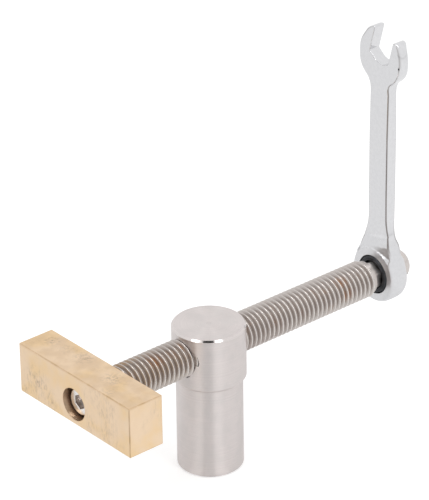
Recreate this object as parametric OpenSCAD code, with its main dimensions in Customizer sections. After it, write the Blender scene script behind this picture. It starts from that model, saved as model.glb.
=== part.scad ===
// Bench dog clamp: a stepped steel dog that drops into a bench hole, a screw that runs through its head,
// a swivelling brass jaw on the front of the screw and a small ratchet wrench on the screw's hex end.
// Millimetres. The origin is on the dog's axis at the bench top, +Z is up and the screw runs along +Y.

/* [Dog post] */
// Diameter of the shank, a slide fit in a 20 mm bench dog hole
shank_d = 19.9; // [16:0.1:24]
// Length of the shank below the bench top
shank_h = 29; // [18:0.5:40]
// Diameter of the head above the bench top
head_d = 22; // [20.4:0.1:30]
// Height of the head above the bench top
head_h = 17.8; // [17.2:0.1:25]
// Height of the cone under the head that seats on the rim of the hole
seat_cone_h = 1.1; // [0.6:0.1:3]
// Chamfer around the top of the head
head_chamfer = 0.5; // [0.2:0.1:1]
// Chamfer around the foot of the shank
foot_chamfer = 0.4; // [0.2:0.1:1.5]

/* [Clamp screw] */
// Height of the screw's axis above the bench top
screw_z = 10.2; // [9.4:0.1:10.4]
// Crest diameter of the screw thread, M12
thread_d = 11.8; // [10:0.1:12]
// Rise of the thread in one turn
thread_pitch = 1.75; // [1.5:0.05:2]
// Depth of the thread from crest to root
thread_depth = 0.95; // [0.7:0.05:1.05]
// Share of the pitch that the flat crest takes
crest_share = 0.125; // [0.1:0.005:0.2]
// Length of the thread
thread_len = 100.9; // [80:0.1:140]
// Chamfer at each end of the thread
thread_chamfer = 0.7; // [0.4:0.1:1]
// Sides that each turn of the thread has
thread_sides = 16; // [14:1:18]
// Radial room between the screw and the tapped hole in the head
thread_gap = 0.25; // [0.2:0.05:0.3]
// Diameter of the plain spigot that carries the jaw
spigot_d = 7; // [6.6:0.1:7.4]
// Distance across the flats of the hex end
hex_af = 8; // [7:0.1:9]
// Length of the hex end
hex_len = 14.9; // [13:0.1:20]
// Diameter that the corners of the hex end are turned to
hex_corner_d = 9.1; // [8.9:0.05:9.2]
// Chamfer on the end of the hex
hex_chamfer = 0.8; // [0.3:0.1:1]

/* [Brass jaw] */
// Width of the jaw, along X
jaw_w = 50; // [36:0.5:70]
// Height of the jaw
jaw_h = 16; // [13:0.5:18]
// Thickness of the jaw, along the screw
jaw_t = 12; // [11:0.5:16]
// Distance from the dog's axis to the front of the jaw
jaw_reach = 50.3; // [45:0.1:60]
// Height of the jaw's middle above the screw's axis
jaw_rise = 1.5; // [0:0.1:2]
// Chamfer on the edges of the jaw
jaw_chamfer = 0.25; // [0.1:0.05:0.8]
// Diameter of the counterbore in the front of the jaw
counterbore_d = 10; // [9.8:0.1:11]

/* [Jaw bolt] */
// Diameter of the socket head
bolt_head_d = 8.5; // [8.2:0.1:8.8]
// Height of the socket head
bolt_head_h = 5; // [4:0.1:5.4]
// Diameter of the bolt's shank, M5
bolt_d = 5; // [4.4:0.1:5.2]
// Length of the bolt under its head
bolt_len = 12; // [9:0.5:20]
// Chamfer on the bolt's two ends
bolt_chamfer = 0.4; // [0.1:0.05:0.5]
// Distance across the flats of the hex socket
socket_af = 4; // [3.5:0.1:4.5]
// Depth of the hex socket
socket_depth = 2.5; // [1.5:0.1:3]
// Depth of the bolt head below the front of the jaw
head_recess = 2; // [1:0.1:2.4]
// Outer diameter of the loose washer on the spigot
washer_d = 9.4; // [9:0.1:9.5]
// Thickness of the washer
washer_t = 0.8; // [0.5:0.1:1.2]

/* [Wrench] */
// Length from the middle of the ring to the middle of the open end
wrench_centres = 72.4; // [60:0.1:110]
// Room between the end of the thread and the ring
ring_standoff = 3.2; // [2.8:0.1:5]
// Outer diameter of the ring
ring_d = 18; // [17.8:0.1:20]
// Thickness of the ring
ring_t = 6.2; // [6:0.1:7]
// Bevel on the edges of the ring
ring_bevel = 0.7; // [0.2:0.05:0.8]
// Width of the handle
handle_w = 7.6; // [6.5:0.1:9]
// Thickness of the handle
handle_t = 3.6; // [3.2:0.1:4.4]
// Bevel along the handle
handle_bevel = 0.3; // [0.1:0.05:0.5]
// Radius of the flare from the handle into the ring
ring_flare_r = 24; // [18:0.5:32]
// Height above the ring's middle where the thick neck steps down to the handle
neck_step = 12.8; // [12.6:0.1:15]
// Lean of that step across the handle, in degrees
neck_step_lean = 15; // [0:1:20]
// Length of the ramp at that step
neck_ramp = 0.6; // [0.4:0.1:1.5]
// Thickness of the neck just below that step, from where it slopes up to the ring's
neck_t = 4.8; // [4.5:0.1:6]
// Diameter of the open end's head
open_d = 18.6; // [17.4:0.1:22]
// Thickness of the open end
open_t = 4; // [3.8:0.1:5]
// Height of the bevel around the open end
open_bevel = 0.8; // [0.3:0.1:1.2]
// Width of that bevel, seen from the front
open_bevel_w = 2; // [0.5:0.1:2.2]
// Radius of the flare from the handle into the open end
open_flare_r = 4; // [2:0.5:10]
// Width of the open end's mouth, for an 8 mm nut
mouth_w = 8.1; // [7:0.1:9]
// Depth of the mouth below the middle of the open end
mouth_depth = 2; // [1:0.1:3]
// Height of the throat's slanted corners
mouth_corner = 1.4; // [0.6:0.1:2]
// Lean of the mouth from the handle, in degrees
mouth_lean = 15; // [0:1:22]

/* [Ratchet] */
// Tip diameter of the ratchet gear
gear_d = 14; // [13.8:0.1:14.2]
// Number of teeth on the gear
gear_teeth = 72; // [60:12:84]
// Depth of the gear's teeth
tooth_depth = 0.35; // [0.25:0.05:0.4]
// Thickness of the toothed band
gear_band_t = 4; // [3.6:0.1:4]
// Diameter of the gear's plain shoulders
gear_shoulder_d = 12; // [11.6:0.1:12.1]
// Room for the hex end inside the twelve-point bore, across the flats
bore_room = 0.2; // [0.1:0.05:0.3]
// Chamfer at the mouth of the gear's bore
bore_lead = 0.5; // [0.2:0.05:0.6]
// Distance that the gear's front shoulder stands out of the ring
collar_t = 0.6; // [0.4:0.05:0.8]
// Chamfer on the gear's two shoulders
collar_chamfer = 0.5; // [0.2:0.05:0.6]
// Thickness of the lip that holds the gear at the front of the ring
lip_t = 1; // [0.8:0.1:1.2]
// Thickness of the snap ring behind the gear
snap_t = 0.6; // [0.4:0.05:0.7]
// Radial width of the snap ring
snap_w = 1.05; // [0.9:0.05:1.2]
// Depth of the snap ring's groove
groove_depth = 0.35; // [0.25:0.05:0.5]
// Gap between the ends of the snap ring
snap_gap = 3; // [1.5:0.1:5]
// Width of the pawl
pawl_w = 5.6; // [4.6:0.1:6]
// Thickness of the pawl, along the screw
pawl_t = 3.4; // [3:0.1:3.6]
// Radial length of the pawl above the tips of the gear's teeth
pawl_len = 1.9; // [1.6:0.1:2.1]
// Travel that takes the pawl clear of the teeth
pawl_travel = 0.45; // [0.45:0.05:0.55]
// Outer diameter of the pawl spring
spring_d = 2.4; // [2:0.1:2.5]
// Wire diameter of the pawl spring
spring_wire = 0.28; // [0.2:0.02:0.32]
// Turns of the pawl spring
spring_turns = 5; // [4:1:5]
// Depth of the spring's seat in the pawl
spring_seat = 0.7; // [0.4:0.1:0.9]
// Depth of the spring's hole above the pawl's pocket
spring_hole = 2.5; // [2:0.1:2.8]

/* [Clearances] */
// Radial room of a running fit
run_gap = 0.05; // [0.03:0.01:0.08]
// End play between pieces that turn on each other
end_play = 0.1; // [0.08:0.01:0.15]
// Room around a bolt in its hole
bolt_room = 0.1; // [0.05:0.01:0.15]
// Room around the pawl and its spring
slide_room = 0.1; // [0.06:0.01:0.12]
// Radial room between the gear's shoulder and the ring's lip
lip_room = 0.15; // [0.1:0.01:0.2]

/* [Hidden] */
$fn = 64;

// Cuts reach this far past the faces that they open
past = 1;

// Places along the screw, from the front of the jaw to the end of the hex
bolt_seat_y = head_recess + bolt_head_h - jaw_reach;
jaw_floor_y = bolt_seat_y + washer_t + 2 * end_play;
jaw_back_y = jaw_t - jaw_reach;
shoulder_y = jaw_back_y + end_play;
thread_end_y = shoulder_y + thread_len;
wrench_y = thread_end_y + ring_standoff + ring_t / 2;

// Thread profile: the flanks stand 60 degrees apart, as on any metric screw
crest_r = thread_d / 2;
root_r = crest_r - thread_depth;
crest_w = crest_share * thread_pitch;
flank_w = thread_depth * tan(30);
// Turns that the helix has beyond each end of what it is cut to
spare_turns = 2;
helix_start_y = shoulder_y - spare_turns * thread_pitch;

// Flares sink this far into the ring, the handle and the open end, so that they cross and don't just touch
flare_sink = 0.15;

// Wrench, measured from the middle of the ring
flare_x = handle_w / 2 + ring_flare_r - flare_sink;
flare_y = sqrt(pow(ring_d / 2 + ring_flare_r - flare_sink, 2) - pow(flare_x, 2));
open_flare_x = handle_w / 2 + open_flare_r - flare_sink;
open_flare_y = sqrt(pow(open_d / 2 + open_flare_r - flare_sink, 2) - pow(open_flare_x, 2));

// Plates of the two flares end this far from the middles of the ring and the open end
neck_low = ring_d / 8;
open_low = open_d / 8;
// The neck starts to slope this far outside the ring, so that its face doesn't touch the ring's edge
slope_lead = 0.4;
neck_foot = ring_d / 2 + slope_lead;

// Ratchet, measured from the middle of the ring
gear_room_r = gear_d / 2 + slide_room;
lip_back = ring_t / 2 - lip_t;
band_front = lip_back - end_play;
band_back = band_front - gear_band_t;
snap_front = band_back - end_play;
lip_r = gear_shoulder_d / 2 + lip_room;
groove_r = gear_room_r + groove_depth;
snap_r = groove_r - slide_room;
pawl_mid = (band_front + band_back) / 2;
pawl_top = gear_d / 2 + pawl_len;
pocket_top = pawl_top + pawl_travel + slide_room;
spring_low = pawl_top - spring_seat;
spring_high = pocket_top + spring_hole;

// Puts a shape drawn along +Z on the screw's axis, pointing along +Y from the place y
module along_screw(y) translate([0, y, screw_z]) rotate([-90, 0, 0]) children();

// Puts a shape drawn flat, with +Y towards the open end and +Z towards the jaw, in the wrench's plane
module in_wrench() translate([0, wrench_y, screw_z]) rotate([90, 0, 0]) children();

// One solid screw thread along +Z from 0, with every radius grown by grow and its two ends left open-cut
module helix(turns, grow) {
    steps = turns * thread_sides;
    widths = [0, thread_pitch - crest_w - 2 * flank_w, thread_pitch - crest_w - flank_w,
              thread_pitch - flank_w];
    radii = [root_r, root_r, crest_r, crest_r];
    function spot(i, k) = let (a = 360 * i / thread_sides, r = radii[k] + grow)
        [r * cos(a), r * sin(a), thread_pitch * i / thread_sides + widths[k]];
    strip = [for (i = [0 : steps]) for (k = [0 : 3]) spot(i, k)];
    top_ring = [for (i = [steps + 1 : steps + thread_sides]) spot(i, 0)];
    ends = [[0, 0, thread_pitch / 2], [0, 0, thread_pitch * (turns + 0.5)]];
    low = len(strip) + len(top_ring);
    high = low + 1;
    // Index of profile point k at step i, where point 4 is the first point one turn later
    function at(i, k) = k == 4 ? at(i + thread_sides, 0) : i <= steps ? 4 * i + k
        : len(strip) + i - steps - 1;
    sides = [for (i = [0 : steps - 1]) for (k = [0 : 3])
        each [[at(i, k), at(i, k + 1), at(i + 1, k + 1)], [at(i, k), at(i + 1, k + 1), at(i + 1, k)]]];
    low_cap = [for (i = [0 : thread_sides - 1]) [low, at(i, 0), at(i + 1, 0)]];
    low_step = [for (k = [0 : 3]) [low, at(0, k + 1), at(0, k)]];
    high_cap = [for (i = [steps : steps + thread_sides - 1]) [high, at(i + 1, 0), at(i, 0)]];
    high_step = [for (k = [0 : 3]) [high, at(steps, k), at(steps, k + 1)]];
    polyhedron(concat(strip, top_ring, ends), concat(sides, low_cap, low_step, high_cap, high_step));
}

// Solid of revolution along +Z with a chamfer of height c and width w on its two ends
module chamfered_rod(r, h, c, w) {
    rotate_extrude() polygon([[0, 0], [r - w, 0], [r, c], [r, h - c], [r - w, h], [0, h]]);
}

// Reel that cuts a flare of radius r into a plate of thickness t, with a bevel b on both edges
module flare_reel(r, t, b) {
    half = t / 2;
    wide = r + b + past;
    rotate_extrude() polygon([[0, -half - past], [wide, -half - past], [r, b - half], [r, half - b],
        [wide, half + past], [0, half + past]]);
}

// Outline of the gear, grown by grow
module gear_outline(grow) {
    tip = gear_d / 2 + grow;
    root = tip - tooth_depth;
    polygon([for (i = [0 : gear_teeth - 1]) for (half = [0, 0.5])
        let (a = 360 * (i + half) / gear_teeth, r = half == 0 ? root : tip) [r * sin(a), r * cos(a)]]);
}

// Turned stainless dog with the tapped hole for the screw across its head
module dog_post() {
    hole_turns = ceil(head_d / thread_pitch) + 2 * spare_turns;
    hole_start_y = -head_d / 2 - spare_turns * thread_pitch;
    hole_lead = floor((hole_start_y - helix_start_y) / thread_pitch) * thread_pitch;
    // Flats of the tapped hole keep their room where its corners lie further out
    hole_grow = (crest_r + thread_gap) / cos(180 / thread_sides) - crest_r;
    color("#c9c4c0") difference() {
        rotate_extrude() polygon([[0, -shank_h], [shank_d / 2 - foot_chamfer, -shank_h],
            [shank_d / 2, foot_chamfer - shank_h], [shank_d / 2, 0], [head_d / 2, seat_cone_h],
            [head_d / 2, head_h - head_chamfer], [head_d / 2 - head_chamfer, head_h], [0, head_h]]);
        along_screw(helix_start_y + hole_lead) helix(hole_turns, hole_grow);
    }
}

// Clamp screw: thread, plain spigot for the jaw at the front and hex end for the wrench at the back
module clamp_screw() {
    spigot_len = shoulder_y - bolt_seat_y;
    turns = ceil(thread_len / thread_pitch) + 2 * spare_turns;
    hole_len = bolt_len + past;
    color("#a39a92") difference() {
        union() {
            intersection() {
                along_screw(helix_start_y) helix(turns, 0);
                along_screw(shoulder_y) chamfered_rod(crest_r + thread_gap, thread_len,
                    thread_chamfer + thread_gap, thread_chamfer + thread_gap);
            }
            along_screw(bolt_seat_y) cylinder(d = spigot_d, h = spigot_len + past);
            along_screw(thread_end_y - past) intersection() {
                rotate([0, 0, 30]) cylinder(d = hex_af / cos(30), h = hex_len + past, $fn = 6);
                chamfered_rod(hex_corner_d / 2, hex_len + past, hex_chamfer, hex_chamfer);
            }
        }
        along_screw(bolt_seat_y - past) cylinder(d = bolt_d + bolt_room, h = hole_len + past);
    }
}

// Rectangle centred on the origin with its corners cut
module cut_corner_rectangle(w, h, c) {
    x = w / 2;
    y = h / 2;
    polygon([[c - x, -y], [x - c, -y], [x, c - y], [x, y - c], [x - c, y], [c - x, y], [-x, y - c],
        [-x, c - y]]);
}

// Brass jaw with the spigot's bore and the counterbore that hides the bolt
module jaw_block() {
    color("#d9bd8b") difference() {
        translate([0, jaw_t / 2 - jaw_reach, screw_z + jaw_rise]) intersection() {
            rotate([90, 0, 0]) linear_extrude(jaw_t, center = true)
                cut_corner_rectangle(jaw_w, jaw_h, jaw_chamfer);
            rotate([90, 0, 90]) linear_extrude(jaw_w, center = true)
                cut_corner_rectangle(jaw_t, jaw_h, jaw_chamfer);
            linear_extrude(jaw_h, center = true) cut_corner_rectangle(jaw_w, jaw_t, jaw_chamfer);
        }
        along_screw(jaw_floor_y - past) cylinder(d = spigot_d + 2 * run_gap, h = jaw_t);
        along_screw(-jaw_reach - past) cylinder(d = counterbore_d, h = jaw_floor_y + jaw_reach + past);
    }
}

// Socket-head bolt that seats on the end of the spigot and keeps the jaw on
module jaw_bolt() {
    color("#d4d6d8") along_screw(bolt_seat_y) difference() {
        union() {
            rotate_extrude() polygon([[0, 0], [bolt_head_d / 2, 0],
                [bolt_head_d / 2, bolt_chamfer - bolt_head_h],
                [bolt_head_d / 2 - bolt_chamfer, -bolt_head_h], [0, -bolt_head_h]]);
            translate([0, 0, -bolt_chamfer]) rotate_extrude() polygon([[0, 0], [bolt_d / 2, 0],
                [bolt_d / 2, bolt_len], [bolt_d / 2 - bolt_chamfer, bolt_len + bolt_chamfer],
                [0, bolt_len + bolt_chamfer]]);
        }
        translate([0, 0, -bolt_head_h - past])
            cylinder(d = socket_af / cos(30), h = socket_depth + past, $fn = 6);
    }
}

// Loose washer on the spigot, between the bolt head and the floor of the counterbore
module jaw_washer() {
    color("#b9b6b2") along_screw(bolt_seat_y + end_play) difference() {
        cylinder(d = washer_d, h = washer_t);
        translate([0, 0, -past]) cylinder(d = spigot_d + 2 * run_gap, h = washer_t + 2 * past);
    }
}

// Plate of the thick neck between the ring and the handle, before its flares are cut
module neck_plate() {
    reach = ring_d / 2 / (ring_d / 2 + ring_flare_r);
    translate([-flare_x * reach, neck_low, -ring_t / 2])
        cube([2 * flare_x * reach, flare_y - neck_low, ring_t]);
}

// Plate that runs from the handle into the open end, before its flares are cut
module open_plate() {
    reach = open_d / 2 / (open_d / 2 + open_flare_r);
    translate([-open_flare_x * reach, wrench_centres - open_flare_y, -open_t / 2])
        cube([2 * open_flare_x * reach, open_flare_y - open_low, open_t]);
}

// Mouth of the open end, with slanted corners in its throat, drawn from the middle of the open end
module mouth() {
    x = mouth_w / 2;
    floor_y = -mouth_depth;
    floor_left = -mouth_w / 8;
    floor_right = mouth_w / 4;
    rotate([0, 0, -mouth_lean]) linear_extrude(open_t + 2 * past, center = true)
        polygon([[-x, open_d], [-x, floor_y + mouth_corner], [floor_left, floor_y],
            [floor_right, floor_y], [x, floor_y + mouth_corner], [x, open_d]]);
}

// Wedge that slopes one side of the neck down to the leaning step and cuts it to the handle's thickness above
module neck_cut() {
    rotate([0, 0, neck_step_lean]) rotate([90, 0, 90]) linear_extrude(ring_d * 2, center = true)
        polygon([[neck_step, handle_t / 2], [neck_step - neck_ramp, neck_t / 2], [neck_foot, ring_t / 2],
            [neck_foot, ring_t], [flare_y + ring_d, ring_t], [flare_y + ring_d, handle_t / 2]]);
}

// Chrome wrench body: ring with the ratchet's bore and pawl pocket, handle and open end
module wrench_body() {
    color("#dcdde0") in_wrench() difference() {
        union() {
            translate([0, 0, -ring_t / 2]) chamfered_rod(ring_d / 2, ring_t, ring_bevel, ring_bevel);
            difference() {
                neck_plate();
                for (side = [0, 1]) mirror([side, 0, 0])
                    translate([flare_x, flare_y, 0]) flare_reel(ring_flare_r, ring_t, ring_bevel);
                neck_cut();
                mirror([0, 0, 1]) neck_cut();
            }
            rotate([-90, 0, 0]) translate([0, 0, gear_room_r + past])
                linear_extrude(wrench_centres - gear_room_r - past)
                    cut_corner_rectangle(handle_w, handle_t, handle_bevel);
            difference() {
                open_plate();
                for (side = [0, 1]) mirror([side, 0, 0])
                    translate([open_flare_x, wrench_centres - open_flare_y, 0])
                        flare_reel(open_flare_r, open_t, handle_bevel);
            }
            translate([0, wrench_centres, -open_t / 2])
                chamfered_rod(open_d / 2, open_t, open_bevel, open_bevel_w);
        }
        translate([0, wrench_centres, 0]) mouth();
        translate([0, 0, -ring_t / 2 - past]) cylinder(r = gear_room_r, h = lip_back + ring_t / 2 + past);
        translate([0, 0, lip_back - past]) cylinder(r = lip_r, h = lip_t + 2 * past);
        translate([0, 0, snap_front - snap_t - slide_room])
            cylinder(r = groove_r, h = snap_t + 2 * slide_room);
        translate([-pawl_w / 2 - slide_room, 0, pawl_mid - pawl_t / 2 - slide_room])
            cube([pawl_w + 2 * slide_room, pocket_top, pawl_t + 2 * slide_room]);
        translate([0, 0, pawl_mid]) rotate([-90, 0, 0])
            cylinder(d = spring_d + 2 * slide_room, h = spring_high + slide_room);
    }
}

// Blackened ratchet gear with a twelve-point bore that fits the hex end
module ratchet_gear() {
    bore_r = (hex_af + bore_room) / 2;
    gear_front = ring_t / 2 + collar_t;
    gear_back = 2 * end_play - ring_t / 2;
    color("#2b2c2e") in_wrench() difference() {
        union() {
            translate([0, 0, band_back]) linear_extrude(gear_band_t) gear_outline(0);
            translate([0, 0, gear_back]) chamfered_rod(gear_shoulder_d / 2, gear_front - gear_back,
                collar_chamfer, collar_chamfer);
        }
        for (turn = [0, 30])
            translate([0, 0, -ring_t]) rotate([0, 0, turn])
                cylinder(r = bore_r / cos(30), h = 2 * ring_t, $fn = 6);
        translate([0, 0, gear_front - bore_lead])
            cylinder(r1 = bore_r, r2 = bore_r + bore_lead + past, h = bore_lead + past);
    }
}

// Toothed pawl that locks the gear one way
module ratchet_pawl() {
    color("#55565a") in_wrench() difference() {
        translate([0, 0, pawl_mid]) linear_extrude(pawl_t, center = true) difference() {
            translate([-pawl_w / 2, 0]) square([pawl_w, pawl_top]);
            gear_outline(slide_room);
        }
        translate([0, spring_low, pawl_mid]) rotate([-90, 0, 0])
            cylinder(d = spring_d + 2 * slide_room, h = spring_seat + past);
    }
}

// Coil of round wire along +Z from 0 to h, one unbroken tube
module coil(d, wire, turns, h) {
    rings = 12 * turns;
    sides = 6;
    mid_r = (d - wire) / 2;
    rise = h - wire;
    function spot(i, k) = let (a = 360 * turns * i / rings, b = 360 * k / sides,
        r = mid_r + wire / 2 * cos(b), z = wire / 2 * (1 + sin(b)) + rise * i / rings)
        [r * cos(a), r * sin(a), z];
    points = [for (i = [0 : rings]) for (k = [0 : sides - 1]) spot(i, k)];
    function at(i, k) = i * sides + k % sides;
    skin = [for (i = [0 : rings - 1]) for (k = [0 : sides - 1])
        each [[at(i, k), at(i, k + 1), at(i + 1, k + 1)], [at(i, k), at(i + 1, k + 1), at(i + 1, k)]]];
    caps = [for (k = [1 : sides - 2]) each [[at(0, 0), at(0, k + 1), at(0, k)],
        [at(rings, 0), at(rings, k), at(rings, k + 1)]]];
    polyhedron(points, concat(skin, caps));
}

// Coil spring that pushes the pawl into the teeth
module pawl_spring() {
    color("#9a9c9f") in_wrench() translate([0, spring_low, pawl_mid]) rotate([-90, 0, 0])
        coil(spring_d, spring_wire, spring_turns, spring_high - spring_low);
}

// Split ring in its groove that keeps the gear in
module gear_snap_ring() {
    color("#3a3b3d") in_wrench() translate([0, 0, snap_front - snap_t]) difference() {
        cylinder(r = snap_r, h = snap_t);
        translate([0, 0, -past]) cylinder(r = snap_r - snap_w, h = snap_t + 2 * past);
        translate([-snap_gap / 2, -2 * snap_r, -past]) cube([snap_gap, 2 * snap_r, snap_t + 2 * past]);
    }
}

dog_post();
clamp_screw();
jaw_block();
jaw_bolt();
jaw_washer();
wrench_body();
ratchet_gear();
ratchet_pawl();
pawl_spring();
gear_snap_ring();
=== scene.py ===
"""Bench dog clamp, dressed for the camera: stainless dog, worn brass jaw, rolled screw, chrome wrench."""

import math

import bpy
import numpy as np
from mathutils import Matrix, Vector
from mathutils.geometry import delaunay_2d_cdt


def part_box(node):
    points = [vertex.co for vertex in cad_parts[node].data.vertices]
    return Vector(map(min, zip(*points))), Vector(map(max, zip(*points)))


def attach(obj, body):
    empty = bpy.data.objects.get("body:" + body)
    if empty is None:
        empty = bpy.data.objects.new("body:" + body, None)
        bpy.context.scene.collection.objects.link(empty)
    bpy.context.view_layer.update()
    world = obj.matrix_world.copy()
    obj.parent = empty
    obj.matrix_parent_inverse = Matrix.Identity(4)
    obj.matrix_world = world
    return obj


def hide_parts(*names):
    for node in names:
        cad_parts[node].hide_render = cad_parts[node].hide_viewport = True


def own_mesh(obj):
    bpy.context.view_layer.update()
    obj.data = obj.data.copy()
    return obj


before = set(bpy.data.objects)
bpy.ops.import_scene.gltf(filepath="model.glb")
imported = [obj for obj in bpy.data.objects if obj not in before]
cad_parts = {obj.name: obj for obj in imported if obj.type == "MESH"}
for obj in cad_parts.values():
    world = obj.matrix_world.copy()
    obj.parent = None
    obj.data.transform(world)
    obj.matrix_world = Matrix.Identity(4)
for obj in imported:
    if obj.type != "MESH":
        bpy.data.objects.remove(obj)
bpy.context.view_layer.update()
scene = bpy.context.scene
scene.view_settings.view_transform = "Standard"

MM = 0.001
# Setting of a range that eases in and out
SMOOTH = {"interpolation_type": "SMOOTHSTEP"}
# Points round a turned piece, and their angles
ROUND = 120
AROUND = np.arange(ROUND) / ROUND * 2 * math.pi

# Sizes in millimetres. The main ones are those of the solids. Roundings, and the forms of the wrench, which
# are up to 0.4 mm fuller than its solid, are matched to the photo.

# Dog post
FOOT_Z = -29.0
HEAD_TOP_Z = 17.8
HEAD_R = 11.0
HEAD_CHAMFER = 0.5

# Clamp screw, along Y at the height SCREW_Z
SCREW_Z = 10.2
SHOULDER_Y = -38.2
THREAD_END_Y = 62.7
HEX_END_Y = 77.6
PITCH = 1.75
CREST_R = 5.9
CREST_W = 0.219
THREAD_DEPTH = 0.95
FLANK_ANGLE = math.radians(30)
END_FACE_R = 5.2
SPIGOT_R = 3.5
SPIGOT_CHAMFER = 0.2
HEX_R = 4.0
HEX_CORNER_R = 4.55
HEX_CHAMFER = 0.8
# Plain neck that the thread runs out into: its length, its radius and the length of the step down to it
RUNOUT = 1.5
RUNOUT_R = 5.25
RUNOUT_STEP = 0.25
# How rubbed the neck and the two ends are, where a crest is 1 and a root, darker partly with painted shade,
# is 0
NECK_WEAR = 0.6
END_WEAR = 0.7

# Jaw block and jaw bolt
JAW_MIDDLE = (0.0, -44.3, 11.7)
JAW_HALF = (25.0, 6.0, 8.0)
JAW_FRONT_Y = JAW_MIDDLE[1] - JAW_HALF[1]
JAW_TOP_Z = JAW_MIDDLE[2] + JAW_HALF[2]
COUNTERBORE_R = 5.0
BOLT_SEAT_Y = -43.3
BOLT_FACE_Y = -48.3
BOLT_HEAD_R = 4.25
BOLT_SHANK_R = 2.5
BOLT_SHANK = 12.0
BOLT_CHAMFER = 0.4
SOCKET_R = 2.0
SOCKET_DEPTH = 2.5
DRILL_R = 1.8
DRILL_POINT = 0.6

# Ring of the wrench, which reaches further forward than back
WRENCH_Y = 69.0
RING_R = 9.2
RING_HALF = 3.1
RING_FRONT = 3.5
RING_EDGE_R = 8.5
RING_EDGE_SLOPE = 1.3
LIP_R = 6.15
LIP_T = 1.0
GEAR_ROOM_R = 7.1
# Neck between ring and handle, by its height above the ring's middle
NECK_FLARE_R = 18.4
NECK_FLARE_V = 19.7
NECK_FOOT = 9.4
NECK_STEP = 12.8
NECK_RAMP = 0.6
NECK_HALF = 2.4
NECK_LEAN = math.radians(15)
NECK_CURVE = 0.023
NECK_CROWN = 0.018
NECK_DROP = 0.2
# At the back: the length of its slope, and how far it ends under the handle's surface
NECK_BACK = 4.4
NECK_SINK = 0.1
# Handle, with half its thickness at its foot, along its middle and under the open end
HANDLE_HALF_W = 3.9
HANDLE_HALF = 1.8
HANDLE_MIDDLE_HALF = 1.95
HANDLE_TOP_HALF = 1.7
HANDLE_MIDDLE_V = 40.0
# Reach of its rounded edges in from the outline
HANDLE_EDGE = 0.45
# Open end
OPEN_V = 72.4
OPEN_R = 9.3
OPEN_HALF = 2.0
OPEN_FLARE_R = 3.85
MOUTH_HALF_W = 4.05
MOUTH_DEPTH = 2.0
MOUTH_CORNER = 1.4
MOUTH_LEAN = math.radians(15)
MOUTH_EDGE = 0.2
RIGHT_TIP_CUT = 0.9
LEFT_TIP_CUT = 0.3
LEFT_JAW_FLAT = 0.3
# Width of the bell curves that round the outline's corners and the tips of the open end
CORNER_SOFT = 0.22
TIP_SOFT = 0.5
TIP_REACH = 1.6
OUTLINE_STEP = 0.14
# How much deeper than wide the edges grow beyond the handle's: round the ring, along the handle, round the
# open end
RING_STEEP = 2.0
HANDLE_STEEP = 0.84
OPEN_STEEP = 1.9

# Pawl spring
SPRING_D = 2.4
SPRING_WIRE = 0.28
SPRING_TURNS = 5


def linear(hex_colour):
    """sRGB hex colour as linear RGBA, each channel taken through the sRGB curve."""
    c = np.array([int(hex_colour[i:i + 2], 16) for i in (1, 3, 5)]) / 255
    lin = np.where(c <= 0.04045, c / 12.92, ((c + 0.055) / 1.055) ** 2.4)
    return (*(float(v) for v in lin), 1.0)


def add(tree, kind, sockets=(), output=0, **settings):
    """Adds a node with its settings and fills its sockets, given in order or by name: an output is linked,
    anything else is set. Returns one of the node's outputs, if it has any."""
    made = tree.nodes.new("ShaderNode" + kind)
    for name, value in settings.items():
        setattr(made, name, value)
    filled = sockets if isinstance(sockets, dict) else dict(enumerate(sockets))
    for key, value in filled.items():
        if isinstance(value, bpy.types.NodeSocket):
            tree.links.new(value, made.inputs[key])
        else:
            made.inputs[key].default_value = value
    return made.outputs[output] if len(made.outputs) else None


def spot(tree, where, middle, radius):
    """1 at a place in millimetres, falling to 0 at a radius from it."""
    away = add(tree, "VectorMath", [where, [v * MM for v in middle]], "Value", operation="DISTANCE")
    return add(tree, "MapRange", [away, 0, radius * MM, 1, 0], **SMOOTH)


def from_screw(tree, where):
    """Distance from the screw's axis."""
    level = add(tree, "VectorMath", [where, (1, 0, 1)], operation="MULTIPLY")
    return add(tree, "VectorMath", [level, (0, 0, SCREW_Z * MM)], "Value", operation="DISTANCE")


def finish_material(name, build):
    """A material whose node tree build fills in; build returns the shader's output."""
    made = bpy.data.materials.new(name)
    made.use_nodes = True
    tree = made.node_tree
    tree.nodes.clear()
    add(tree, "OutputMaterial", {"Surface": build(tree)})
    return made


# Meshes


def grid_faces(rows, cols, wrap=False, first=0):
    """Quads of a rows x cols grid of points, numbered row by row from first; wrap joins the last column to
    the first."""
    i, j = np.meshgrid(np.arange(rows - 1), np.arange(cols if wrap else cols - 1), indexing="ij")
    k = (j + 1) % cols
    quads = np.stack([i * cols + j, i * cols + k, (i + 1) * cols + k, (i + 1) * cols + j], -1)
    return first + quads.reshape(-1, 4)


def piece(name, points, faces, body, finish, stands_for, normals=None, marks=None):
    """A smooth mesh from points in millimetres and groups of faces, riding on a body and standing for a
    CAD node. Normals, where given, are one array for each group of faces. Marks are named values kept at
    the points."""
    mesh = bpy.data.meshes.new(name)
    mesh.from_pydata((points * MM).tolist(), [], [f for group in faces for f in group.tolist()])
    mesh.polygons.foreach_set("use_smooth", np.ones(len(mesh.polygons), bool))
    for label, values in (marks or {}).items():
        kept = mesh.attributes.new(label, "FLOAT", "POINT")
        kept.data.foreach_set("value", values.astype(np.float32))
    mesh.update()
    if normals is not None:
        corners = [n[f.ravel()] for n, f in zip(normals, faces)]
        mesh.normals_split_custom_set(np.concatenate(corners).tolist())
    made = bpy.data.objects.new(name, mesh)
    scene.collection.objects.link(made)
    made.data.materials.append(finish)
    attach(made, body)
    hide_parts(stands_for)
    return made


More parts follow.
